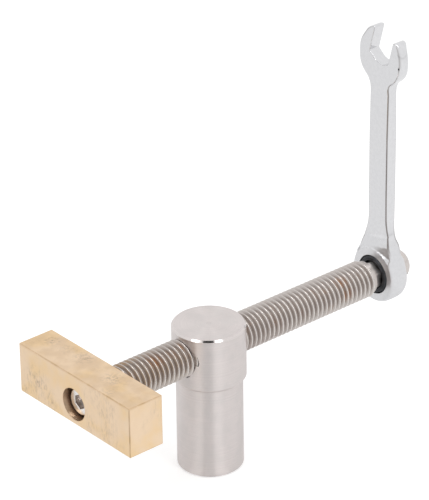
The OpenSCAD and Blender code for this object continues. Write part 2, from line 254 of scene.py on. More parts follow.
def blur_loop(values, sigma):
    """Closed row of values smoothed along the row with a bell curve that is sigma samples wide."""
    half = int(4 * sigma) + 1
    bell = np.exp(-0.5 * (np.arange(-half, half + 1) / sigma) ** 2)
    bell /= bell.sum()
    out = np.zeros_like(values)
    for shift, weight in zip(range(-half, half + 1), bell):
        out += weight * np.roll(values, shift, axis=0)
    return out


def unit(vectors):
    """Vectors brought to length 1."""
    return vectors / np.linalg.norm(vectors, axis=-1, keepdims=True)


def turned(y, r, angle):
    """Points at a radius and an angle round the screw's axis, and at y along it."""
    return np.stack(np.broadcast_arrays(r * np.cos(angle), y, SCREW_Z - r * np.sin(angle)), -1)


def hexagon_radius(flat_r):
    """Radius over angle of a hexagon with flats to the left and right: the radius of a flat over the
    cosine of the angle from its middle."""
    return flat_r / np.cos((AROUND + math.pi / 6) % (math.pi / 3) - math.pi / 6)


def screw_thread():
    """Thread of the clamp screw: one pitch of the profile (root, flank, crest, flank, with its corners
    rounded) is carried along a right-hand helix, and runs out into a plain neck at the back. Each end's
    cone caps the radius, and beyond an end the points stay in its face and draw in to the axis. The value
    kept with each point, rubbing together with painted groove shade, is greatest on the crest, fair on
    the flank before it and least in the root, whose darker colour is partly painted shade."""
    flank = THREAD_DEPTH * math.tan(FLANK_ANGLE)
    crest = PITCH - CREST_W - flank
    samples, softness = 700, 22
    fine = np.arange(samples) / samples * PITCH
    sharp = np.interp(fine, [0, crest - flank, crest, crest + CREST_W, PITCH], [0, 0, 1, 1, 0])
    rounded = blur_loop(sharp, softness)
    # Places along the pitch, closer together where the profile bends
    offsets = np.array([0, 0.1, 0.22, 0.33, 0.4, 0.47, 0.6, 0.8, 0.9, 0.97, 1.03, 1.09, 1.15, 1.21, 1.28,
                        1.4, 1.6, 1.7, PITCH])
    height = np.interp(offsets, np.append(fine, PITCH), np.append(rounded, rounded[0]))
    profile_wear_and_shade = np.interp(offsets, [0, 0.45, 0.6, 0.95, 1.0, 1.19, 1.26, PITCH], [0, 0.05, 0.5, 0.7, 1, 1, 0, 0])
    per_turn = 64
    start = SHOULDER_Y - 2 * PITCH
    turns = int((THREAD_END_Y - start) / PITCH) + 2
    turn = np.arange(turns * per_turn + 1)[:, None] / per_turn
    y = start + PITCH * turn + offsets
    beyond = np.maximum(SHOULDER_Y - y, y - THREAD_END_Y)
    plain = np.clip((y - THREAD_END_Y + RUNOUT) / RUNOUT_STEP, 0, 1)
    r = (CREST_R - THREAD_DEPTH + THREAD_DEPTH * height) * (1 - plain) + RUNOUT_R * plain
    r = np.minimum(r, END_FACE_R + np.maximum(-beyond, 0))
    r = r * np.clip(1 - beyond / PITCH, 0, 1)
    points = turned(np.clip(y, SHOULDER_Y, THREAD_END_Y), r, 2 * math.pi * turn)
    return points, profile_wear_and_shade * (1 - plain) + NECK_WEAR * plain


def screw_hex():
    """Hex end of the clamp screw: the radius of a hexagon whose corners are turned off, capped by the end's
    chamfer."""
    hexagon = blur_loop(np.minimum(hexagon_radius(HEX_R), HEX_CORNER_R), 0.8)
    end_r = HEX_CORNER_R - HEX_CHAMFER
    # Place along the screw, largest radius
    rows = np.array([[THREAD_END_Y - 1, math.inf], [THREAD_END_Y + 0.01, math.inf],
                     [HEX_END_Y - HEX_CHAMFER, HEX_CORNER_R],
                     [HEX_END_Y - 0.5 * HEX_CHAMFER, HEX_CORNER_R - 0.5 * HEX_CHAMFER],
                     [HEX_END_Y - 0.1, end_r + 0.1], [HEX_END_Y, end_r - 0.1],
                     [HEX_END_Y, 2], [HEX_END_Y, 0]])
    return turned(rows[:, :1], np.minimum(hexagon, rows[:, 1:]), AROUND)


def screw_spigot():
    """Spigot of the clamp screw, that carries the jaw: a profile turned about the screw's axis."""
    rows = np.array([[SHOULDER_Y + 0.5, SPIGOT_R], [BOLT_SEAT_Y + SPIGOT_CHAMFER, SPIGOT_R],
                     [BOLT_SEAT_Y, SPIGOT_R - SPIGOT_CHAMFER], [BOLT_SEAT_Y, 0]])
    return turned(rows[:, :1], rows[:, 1:], AROUND)


def make_screw(finish):
    """The thread, the hex end and the spigot in one mesh, with the rubbing and painted groove shade kept for
    the finish.
    """
    thread, wear_and_groove_shade = screw_thread()
    hex_end = screw_hex()
    spigot = screw_spigot()
    points = np.concatenate([grid.reshape(-1, 3) for grid in (thread, hex_end, spigot)])
    first_hex = wear_and_groove_shade.size
    first_spigot = first_hex + hex_end.size // 3
    faces = [grid_faces(*wear_and_groove_shade.shape), grid_faces(*hex_end.shape[:2], wrap=True, first=first_hex),
             grid_faces(*spigot.shape[:2], wrap=True, first=first_spigot)[:, ::-1]]
    marks = np.append(wear_and_groove_shade, np.full(len(points) - wear_and_groove_shade.size, END_WEAR))
    piece("clamp_screw_rolled", points, faces, "screw", finish, "clamp_screw",
          marks={"wear_and_groove_shade": marks})


def make_bolt(finish):
    """Socket-head bolt: a profile turned about the screw's axis, from the drill point in the socket's
    floor out over the head and down to the end of the shank. In the socket its radius follows a hexagon
    with flats to the left and right. Rows close together keep its edges crisp."""
    crisp = 0.04
    seat = BOLT_SEAT_Y - BOLT_FACE_Y
    end = seat + BOLT_SHANK
    # Depth behind the face, plain radius, share of the hexagon
    profile = np.array([
        [SOCKET_DEPTH + DRILL_POINT, 0, 0], [SOCKET_DEPTH + 0.03, DRILL_R - 0.05, 0],
        [SOCKET_DEPTH, DRILL_R, 0], [SOCKET_DEPTH, 0, 0.98], [SOCKET_DEPTH - crisp, 0, 1],
        [0.16, 0, 1], [0.13, 0, 1.005], [0, 0, 1.06], [0, 0, 1.075],
        [0, BOLT_HEAD_R - BOLT_CHAMFER - 0.05, 0], [0, BOLT_HEAD_R - BOLT_CHAMFER, 0],
        [0.03, BOLT_HEAD_R - 0.32, 0], [0.15, BOLT_HEAD_R - 0.13, 0], [0.37, BOLT_HEAD_R - 0.02, 0],
        [BOLT_CHAMFER + 0.02, BOLT_HEAD_R, 0], [seat - crisp, BOLT_HEAD_R, 0],
        [seat, BOLT_HEAD_R - crisp, 0], [seat, BOLT_SHANK_R + 0.05, 0], [seat, BOLT_SHANK_R, 0],
        [seat + crisp, BOLT_SHANK_R, 0],
        [end - BOLT_CHAMFER, BOLT_SHANK_R, 0], [end, BOLT_SHANK_R - BOLT_CHAMFER, 0], [end, 0, 0]])
    depth, plain, sided = profile.T[:, :, None]
    points = turned(BOLT_FACE_Y + depth, plain + sided * hexagon_radius(SOCKET_R), -AROUND)
    faces = [grid_faces(len(profile), ROUND, wrap=True)[:, ::-1]]
    piece("jaw_bolt_forged", points.reshape(-1, 3), faces, "screw", finish, "jaw_bolt")


def arc(centre, radius, start, end, count):
    """Points on a circle's arc, from start to end in degrees."""
    a = np.radians(np.linspace(start, end, count))
    return np.stack([centre[0] + radius * np.cos(a), centre[1] + radius * np.sin(a)], -1)


def wrench_outline():
    """Closed outline of the wrench in its plane, u across and v up from the ring's middle, run with the
    metal on the left: ring arc, straight neck, hollow flare, handle edge, flare and arc of the open end,
    the leaning mouth, and back down. The left jaw is flatter than its arc and the right jaw's tip is cut
    back. It is sampled evenly, and its corners are rounded by a bell curve, wider at the two jaw tips.
    Also tells which samples lie inside the mouth."""
    flare = np.array([HANDLE_HALF_W + NECK_FLARE_R, NECK_FLARE_V])
    ring_turn = math.degrees(math.atan2(flare[1], flare[0])
                             - math.acos((RING_R + NECK_FLARE_R) / np.linalg.norm(flare)))
    top = np.array([HANDLE_HALF_W + OPEN_FLARE_R, 0.0])
    top[1] = OPEN_V - math.sqrt((OPEN_R + OPEN_FLARE_R) ** 2 - top[0] ** 2)
    open_turn = math.degrees(math.atan2(top[1] - OPEN_V, top[0]))
    wall = math.sqrt(OPEN_R ** 2 - MOUTH_HALF_W ** 2)
    slot = np.array([[MOUTH_HALF_W, wall - RIGHT_TIP_CUT], [MOUTH_HALF_W, MOUTH_CORNER - MOUTH_DEPTH],
                     [MOUTH_HALF_W / 2, -MOUTH_DEPTH], [-MOUTH_HALF_W / 4, -MOUTH_DEPTH],
                     [-MOUTH_HALF_W, MOUTH_CORNER - MOUTH_DEPTH], [-MOUTH_HALF_W, wall - LEFT_TIP_CUT]])
    across = np.array([math.cos(MOUTH_LEAN), -math.sin(MOUTH_LEAN)])
    along = np.array([math.sin(MOUTH_LEAN), math.cos(MOUTH_LEAN)])
    mouth = slot[:, :1] * across + slot[:, 1:] * along + [0, OPEN_V]
    right_tip, left_tip = (math.degrees(math.atan2(p[1] - OPEN_V, p[0])) for p in mouth[[0, -1]])
    # The arcs stop a few degrees short of the tips
    right = [arc((0, 0), RING_R, -90, ring_turn, 200),
             arc(flare, NECK_FLARE_R, 180 + ring_turn, 180, 120),
             arc(top, OPEN_FLARE_R, 180, 180 + open_turn, 60),
             arc((0, OPEN_V), OPEN_R, open_turn, right_tip - 7, 160)]
    # Between 104 and 174 degrees round the open end the left jaw is flatter than its arc
    jaw_turn = np.linspace(left_tip + 4, 180 - open_turn, 200)
    flatter = LEFT_JAW_FLAT * np.sin(math.pi * np.clip((jaw_turn - 104) / 70, 0, 1)) ** 2
    left_jaw = arc((0, OPEN_V), OPEN_R - flatter, jaw_turn[0], jaw_turn[-1], len(jaw_turn))
    mirrored = [(run * [-1, 1])[::-1] for run in right[2::-1]]
    path = np.concatenate([*right, mouth, left_jaw, *mirrored])
    step = np.linalg.norm(np.diff(path, axis=0, append=path[:1]), axis=1)
    apart = step > 1e-6
    path = path[apart]
    reach = np.append(0, np.cumsum(step[apart]))
    even = np.linspace(0, reach[-1], int(reach[-1] / OUTLINE_STEP), endpoint=False)
    closed = np.vstack([path, path[:1]])
    line = np.stack([np.interp(even, reach, closed[:, k]) for k in (0, 1)], -1)
    from_tip = np.minimum(*(np.linalg.norm(line - tip, axis=1) for tip in mouth[[0, -1]]))
    soft = np.clip(1.5 - from_tip / TIP_REACH, 0, 1)[:, None]
    line = (blur_loop(line, CORNER_SOFT / OUTLINE_STEP) * (1 - soft)
            + blur_loop(line, TIP_SOFT / OUTLINE_STEP) * soft)
    # Samples in the mouth's slot, with a little room beside and below it
    from_slot = (line - [0, OPEN_V]) @ np.stack([across, along], 1)
    inside = (np.abs(from_slot[:, 0]) < MOUTH_HALF_W + 0.12) & (from_slot[:, 1] > -MOUTH_DEPTH - 0.2)
    return line, inside & (from_slot[:, 1] < wall)


def soft_max(a, b, blend=0.08):
    """The larger of two heights, with the crease between them rounded."""
    return 0.5 * (a + b + np.sqrt((a - b) ** 2 + blend ** 2))


def wrench_half(uv, back):
    """Half the wrench's thickness at a place, towards its front or its back. The neck's crowned top slopes
    down from the ring. At the front it ends in a curved step that leans, at the back it runs out smoothly.
    The ring is barrel-shaped, the handle is flat across and a little fuller along its middle, and the open
    end is thicker."""
    u, v = uv[..., 0], uv[..., 1]
    ring = RING_HALF if back else RING_FRONT
    if back:
        t = np.clip((v - NECK_FOOT) / NECK_BACK, 0, 1)
        fall = ring - NECK_DROP - (HANDLE_HALF - NECK_SINK)
        neck = ring - NECK_DROP - fall * t * t * (3 - 2 * t)
    else:
        up = v * math.cos(NECK_LEAN) - u * math.sin(NECK_LEAN) + NECK_CURVE * u * u
        neck = np.interp(up, [NECK_FOOT, NECK_STEP - NECK_RAMP, NECK_STEP + NECK_RAMP],
                         [ring - NECK_DROP, NECK_HALF, 2 * HANDLE_HALF - NECK_HALF])
    neck = neck - NECK_CROWN * u * u
    ring = ring - RING_EDGE_SLOPE * np.maximum(np.hypot(u, v) - RING_EDGE_R, 0)
    grip = np.interp(v, [16, 26, 46, 60.5, 63.5],
                     [HANDLE_HALF, HANDLE_MIDDLE_HALF, HANDLE_MIDDLE_HALF, HANDLE_TOP_HALF, OPEN_HALF])
    return np.where(v < HANDLE_MIDDLE_V, soft_max(soft_max(neck, ring), grip), grip)


def in_space(uv, depth):
    """Points of the wrench from places in its plane and depths along the screw."""
    return np.stack(np.broadcast_arrays(uv[..., 0], WRENCH_Y + depth, SCREW_Z + uv[..., 1]), -1)


def face_normals(uv, back):
    """Outward normals of the wrench's front or back, from the slope of its thickness."""
    e = 0.02
    slope = [(wrench_half(uv + d, back) - wrench_half(uv - d, back)) / (2 * e) for d in ([e, 0], [0, e])]
    return unit(np.stack([-slope[0], np.full(len(uv), 1.0 if back else -1.0), -slope[1]], -1))


def wrench_edge(line, inside):
    """How far the rounded edge reaches in from the outline at the front and at the back, and the outline's
    outward direction. The edge is widest round the open end, whose faces are narrower than its middle,
    small inside the mouth, and held down where the outline turns sharply. At the back of the neck it is
    wider than at the front."""
    tangent = unit(np.roll(line, -1, axis=0) - np.roll(line, 1, axis=0))
    u, v = line.T
    # The left jaw keeps its wide edge further up than the right one
    up = v - OPEN_V
    up = np.where((u < 0) & (up > 1.5), 1.5 + (up - 1.5) * 0.6, up)
    inset = np.where(v < HANDLE_MIDDLE_V, np.interp(v, [6, 9, 14], [1.25, 0.7, HANDLE_EDGE]),
                     np.interp(up, [-8, -5.7, -3, -1.6, 0, 1.5, 4, 5.6],
                               [HANDLE_EDGE, 0.5, 0.8, 1.1, 1.2, 1.2, 1.1, HANDLE_EDGE]))
    bend = np.unwrap(np.arctan2(tangent[:, 1], tangent[:, 0]))
    bend = (np.roll(bend, -1) - np.roll(bend, 1) + math.pi) % (2 * math.pi) - math.pi
    tightest = 2 * OUTLINE_STEP / np.maximum(bend, 0.01)
    inset = np.minimum(np.where(inside, MOUTH_EDGE, inset), 0.5 * tightest)
    # Along the outline it grows by no more than half the way
    for shift in range(1, 30):
        near = np.minimum(np.roll(inset, shift), np.roll(inset, -shift))
        inset = np.minimum(inset, near + 0.5 * shift * OUTLINE_STEP)
    inset = blur_loop(inset, 3)
    wider = np.interp(v, [6, 9.5, 14, 19], [0, 0.9, 1.0, 0])
    return inset, inset + wider, np.stack([tangent[:, 1], -tangent[:, 0]], -1)


def wrench_skin(line, inside):
    """Sides of the wrench: a rounded edge profile, part of an ellipse at the front, the straight wall and
    part of an ellipse at the back, carried round the outline. Returns its places in the wrench's plane,
    its points and its normals."""
    front_inset, back_inset, out = wrench_edge(line, inside)
    share = np.array([1, 0.84, 0.67, 0.5, 0.33, 0.16, 0])
    side = np.repeat([-1, 1], len(share))[:, None]
    inset = np.where(side < 0, front_inset, back_inset)
    # Round the ring the two edges make a barrel; round the open end they are steep and meet the face in a
    # crease
    at_open = line[:, 1] > HANDLE_MIDDLE_V
    steep = np.where(at_open, np.where(inset > HANDLE_EDGE, OPEN_STEEP, HANDLE_STEEP),
                     np.interp(line[:, 1], [5, 9], [RING_STEEP, HANDLE_STEEP]))
    drop = HANDLE_EDGE + (inset - HANDLE_EDGE) * steep
    start = np.radians(90 - 45 * np.clip((inset - 0.5) / 0.4, 0, 1) * at_open)
    turn = np.concatenate([share, share[::-1]])[:, None] * start
    reach = inset * (1 - (np.cos(turn) - np.cos(start)) / (1 - np.cos(start)))
    place = line - reach[..., None] * out
    half = np.where(side < 0, wrench_half(place[0], False), wrench_half(place[-1], True))
    depth = side * (half - drop + drop * np.sin(turn) / np.sin(start))
    lean = (drop * np.cos(turn) / np.sin(start))[..., None] * out
    normals = np.stack([lean[..., 0], side * inset * np.sin(turn) / (1 - np.cos(start)), lean[..., 1]], -1)
    return place, in_space(place, depth), unit(normals)


def wrench_bore():
    """Bore of the ring: a profile with a lip at the front and two rounded rims, turned about the ring's
    axis. Returns its places in the wrench's plane, its points and its normals."""
    # How far a rounded rim reaches, and how far its middle stands off the corner
    soft, mid = 0.25, 0.07
    bore = np.array([[LIP_R + soft, -RING_FRONT], [LIP_R + mid, mid - RING_FRONT],
                     [LIP_R, soft - RING_FRONT], [LIP_R, LIP_T - RING_HALF],
                     [GEAR_ROOM_R, LIP_T - RING_HALF], [GEAR_ROOM_R, RING_HALF - soft],
                     [GEAR_ROOM_R + mid, RING_HALF - mid], [GEAR_ROOM_R + soft, RING_HALF]])
    lean = np.array([[0, -1], [-0.7, -0.7], [-1, 0], [-1, 0.3], [-0.3, 1], [-1, 0], [-0.7, 0.7], [0, 1]])
    spin = np.stack([np.cos(AROUND), np.sin(AROUND)], -1)
    place = bore[:, :1, None] * spin
    level = lean[:, :1, None] * spin
    normals = np.stack(np.broadcast_arrays(level[..., 0], lean[:, 1:], level[..., 1]), -1)
    return place, in_space(place, bore[:, 1:]), unit(normals)


def inside_loop(points, loop):
    """Which points lie inside a closed loop: those from which a ray to the right crosses it an odd number
    of times."""
    a, b = loop, np.roll(loop, -1, axis=0)
    x, y = points[:, :1], points[:, 1:]
    spans = (a[:, 1] > y) != (b[:, 1] > y)
    rise = np.where(a[:, 1] == b[:, 1], 1, b[:, 1] - a[:, 1])
    crosses = spans & (x < a[:, 0] + (y - a[:, 1]) * (b[:, 0] - a[:, 0]) / rise)
    return crosses.sum(axis=1) % 2 == 1


def wrench_face(edge, rim, back):
    """Front or back of the wrench: triangles between its edge, the bore's rim and, where the thickness
    changes, a grid of places inside. Returns all the places, in that order, and the triangles."""
    # Places over the neck, and over the rise to the open end
    neck = np.stack(np.meshgrid(np.arange(-7, 7, 0.37), np.arange(4.1, 15.6, 0.35)), -1).reshape(-1, 2)
    rise = np.stack(np.meshgrid(np.arange(-4, 4.1, 1.0), np.arange(59.5, 64.6, 0.8)), -1).reshape(-1, 2)
    grid = np.concatenate([neck, rise])
    grid = grid[np.hypot(*grid.T) > GEAR_ROOM_R + 0.6]
    grid = grid[inside_loop(grid, edge)]
    grid = grid[np.linalg.norm(grid[:, None] - edge, axis=2).min(axis=1) > 0.15]
    flat = np.concatenate([edge, rim, grid])
    count = len(edge)
    runs = np.arange(count), count + np.arange(ROUND)
    borders = np.concatenate([np.stack([run, np.roll(run, -1)], -1) for run in runs])
    made = delaunay_2d_cdt(flat.tolist(), borders.tolist(), [], 1, 1e-6)
    first = np.array([sources[0] for sources in made[3]])
    tri = first[np.array(made[2])]
    # Triangles between three points of the bore's rim lie in the hole
    tri = tri[((tri < count) | (tri >= count + ROUND)).any(axis=1)]
    a, b, c = (flat[tri[:, k]] for k in range(3))
    ccw = (b - a)[:, 0] * (c - a)[:, 1] - (b - a)[:, 1] * (c - a)[:, 0] > 0
    return flat, np.where((ccw == back)[:, None], tri[:, ::-1], tri)


def make_wrench(finish):
    """Chrome wrench body: its sides, the ring's bore, and a front and a back whose points lie on the
    thickness's height field. The rounded edges along the handle and the crease of the open end are marked
    for the finish's painted dark reflection."""
    line, inside = wrench_outline()
    edge, skin, skin_normals = wrench_skin(line, inside)
    rims, bore, bore_normals = wrench_bore()
    count = len(line)
    first_bore = skin.size // 3
    points = [skin.reshape(-1, 3), bore.reshape(-1, 3)]
    faces = [grid_faces(*skin.shape[:2], wrap=True)[:, ::-1],
             grid_faces(*bore.shape[:2], wrap=True, first=first_bore)]
    sides = np.concatenate([skin_normals.reshape(-1, 3), bore_normals.reshape(-1, 3)])
    normals = [sides, sides]
    total = len(sides)
    for row, rim_row, back in ((0, 0, False), (len(edge) - 1, len(rims) - 1, True)):
        flat, tri = wrench_face(edge[row], rims[rim_row], back)
        inner = flat[count + ROUND:]
        points.append(in_space(inner, wrench_half(inner, back) * (1 if back else -1)))
        ids = np.concatenate([row * count + np.arange(count),
                              first_bore + rim_row * ROUND + np.arange(ROUND),
                              total + np.arange(len(inner))])
        total += len(inner)
        faces.append(ids[tri])
        normals.append(np.zeros((total, 3)))
        normals[-1][ids] = face_normals(flat, back)
    # The painted dark reflection is marked along the middle of the handle's rounding and along the open
    # end's crease
    across = np.array([[0, 0.3, 1, 1, 1, 0.3, 0], [0, 0.6, 0.1, 0, 0, 0, 0]])
    along = np.interp(line[:, 1], [8, 11, 62, 66], [0, 1, 1, 0]), np.interp(line[:, 1], [66, 70], [0, 1])
    marks = np.concatenate([across, across[:, ::-1]], axis=1).T @ np.array(along)
    marks = np.append(marks, np.zeros(total - marks.size))
    piece("wrench_body_forged", np.concatenate(points), faces, "wrench", finish, "wrench_body",
          normals, {"edge": marks})


def make_spring(finish):
    """Pawl spring: a round wire carried along a helix, with its two ends closed flat."""
    low, high = (np.array(corner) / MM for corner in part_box("pawl_spring"))
    turn = np.linspace(0, 2 * math.pi * SPRING_TURNS, 36 * SPRING_TURNS + 1)[:, None]
    sides = np.arange(10)
    around = sides / len(sides) * 2 * math.pi
    radius = (SPRING_D - SPRING_WIRE + SPRING_WIRE * np.cos(around)) / 2
    rise = (high[2] - low[2] - SPRING_WIRE) * turn / turn[-1]
    coil = np.stack([radius * np.cos(turn), (low[1] + high[1]) / 2 + radius * np.sin(turn),
                     low[2] + SPRING_WIRE / 2 * (1 + np.sin(around)) + rise], -1)
    ends = np.array([sides, coil.size // 3 - 1 - sides])
    faces = [grid_faces(len(turn), len(sides), wrap=True)[:, ::-1], ends]
    made = piece("pawl_spring_coiled", coil.reshape(-1, 3), faces, "wrench", finish,
                 "pawl_spring")
    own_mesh(made)


# Finishes


def turned_stainless(tree):
    """Turned stainless bar: satin grey with a warm cast, fine tool rings round the axis that draw every
    highlight out along it, a pip in the middle of the faced top, and faint handling marks."""
    where = add(tree, "TexCoord", output="Object")
    part = add(tree, "SeparateXYZ", [where]).node.outputs
    flat = add(tree, "CombineXYZ", [part["X"], part["Y"]])
    radius = add(tree, "VectorMath", [flat], "Value", operation="LENGTH")
    # Tool marks 0.5 mm apart, several times the real feed, because finer ones don't show
    feed = add(tree, "Math", [radius, part["Z"]], operation="ADD")
    feed = add(tree, "Math", [feed, 1 / (0.5 * MM)], operation="MULTIPLY")
    rings = add(tree, "TexNoise", {"W": feed, "Scale": 1, "Detail": 3}, noise_dimensions="1D")
    # Cloudy handling marks about 4 mm across, fine grain about 0.3 mm
    cloud = add(tree, "TexNoise", {"Vector": where, "Scale": 1 / (4 * MM), "Detail": 4})
    cloud = add(tree, "MapRange", [cloud, 0.35, 0.7, 0, 0.5], **SMOOTH)
    grain = add(tree, "TexNoise", {"Vector": where, "Scale": 1 / (0.3 * MM), "Detail": 3})
    pip = add(tree, "MapRange", [radius, 0.6 * MM, 1.1 * MM, 0.2, 0], **SMOOTH)
    tone = add(tree, "Math", [rings, 0.6], operation="MULTIPLY")
    tone = add(tree, "Math", [grain, 0.4, tone], operation="MULTIPLY_ADD")
    tone = add(tree, "Math", [tone, pip], operation="SUBTRACT")
    colour = add(tree, "Mix", {0: tone, 6: linear("#cfc7c5"), 7: linear("#e8e1df")}, 2, data_type="RGBA")
    colour = add(tree, "Mix", {0: cloud, 6: colour, 7: linear("#d2cdcb")}, 2, data_type="RGBA")
    # The chamfer round the top is cut brighter than the rest
    lip_r, lip_z = (HEAD_R - HEAD_CHAMFER) * MM, (HEAD_TOP_Z - HEAD_CHAMFER) * MM
    lip = [add(tree, "MapRange", [value, start - 0.02 * MM, start, 0, 1], **SMOOTH)
           for value, start in ((radius, lip_r), (part["Z"], lip_z))]
    lip = add(tree, "Math", lip, operation="MULTIPLY")
    rough = add(tree, "MapRange", [rings, 0.2, 0.8, 0.36, 0.44], **SMOOTH)
    rough = add(tree, "Math", [lip, -0.26, rough], operation="MULTIPLY_ADD")
    groove = add(tree, "Bump", {"Height": rings, "Strength": 0.06, "Distance": 0.04 * MM})
    spin = add(tree, "Tangent", direction_type="RADIAL", axis="Z")
    return add(tree, "BsdfPrincipled", {
        "Base Color": colour, "Metallic": 1, "Roughness": rough, "Anisotropic": 0.8,
        "Anisotropic Rotation": 0.25, "Tangent": spin, "Normal": groove})


def rolled_steel(tree):
    """Rolled screw steel: thin pale rubbed crests, brown-grey grooves with oil, light rust and painted
    shade, more soiled in front of the post, rustier in a few places, and painted shade along the top."""
    where = add(tree, "TexCoord", output="Object")
    part = add(tree, "SeparateXYZ", [where]).node.outputs
    # Crests rubbed bright; the grooves' darker colour stands partly for oil and rust and partly for painted
    # shade
    wear_and_groove_shade = add(tree, "Attribute", output="Fac", attribute_name="wear_and_groove_shade")
    # Rust patches about 5 mm along the screw, grain about 0.4 mm
    rust = add(tree, "TexNoise", {"Vector": where, "Scale": 1 / (5 * MM), "Detail": 4})
    rust = add(tree, "MapRange", [rust, 0.52, 0.78, 0, 0.5], **SMOOTH)
    for middle, radius in (((2.5, 49.5, 14.0), 3.5), ((4.6, 50.2, 10.5), 3.5), ((1.5, -22.5, 14.0), 4.5),
                           ((1.0, -11.5, 14.5), 3.0)):
        rust = add(tree, "Math", [rust, spot(tree, where, middle, radius)], operation="MAXIMUM")
    grain = add(tree, "TexNoise", {"Vector": where, "Scale": 1 / (0.4 * MM), "Detail": 3})
    metal = add(tree, "Mix", {0: grain, 6: linear("#d2cbc7"), 7: linear("#efeae7")}, 2, data_type="RGBA")
    front = add(tree, "MapRange", [part["Y"], -8 * MM, -16 * MM, 0, 1], **SMOOTH)
    groove_dirt_and_shade = add(tree, "Mix", {0: front, 6: linear("#998e87"), 7: linear("#9d9086")}, 2, data_type="RGBA")
    speckle = add(tree, "MapRange", [grain, 0.3, 0.7, 0, 0.2], **SMOOTH)
    for share, shade in ((rust, "#96632f"), (speckle, "#aea6a0")):
        groove_dirt_and_shade = add(tree, "Mix", {0: share, 6: groove_dirt_and_shade, 7: linear(shade)}, 2, data_type="RGBA")
    # Less of the metal shows in front of the post
    bare = add(tree, "Math", [front, 1, 0.8], operation="MULTIPLY_ADD")
    bare = add(tree, "Math", [wear_and_groove_shade, bare], operation="POWER")
    colour = add(tree, "Mix", {0: bare, 6: groove_dirt_and_shade, 7: metal}, 2, data_type="RGBA")
    # Painted shade along the top, a darker grey there
    top_painted_shade = add(tree, "MapRange", [part["Z"], (SCREW_Z + 4) * MM, (SCREW_Z + 5.8) * MM, 0, 0.35], **SMOOTH)
    colour = add(tree, "Mix", {0: top_painted_shade, 6: colour, 7: linear("#8f8681")}, 2, data_type="RGBA")
    rough = add(tree, "MapRange", [wear_and_groove_shade, 0, 1, 0.45, 0.25], **SMOOTH)
    relief = add(tree, "Bump", {"Height": grain, "Strength": 0.15, "Distance": 0.04 * MM})
    return add(tree, "BsdfPrincipled", {
        "Base Color": colour, "Metallic": 1, "Roughness": rough, "Normal": relief})


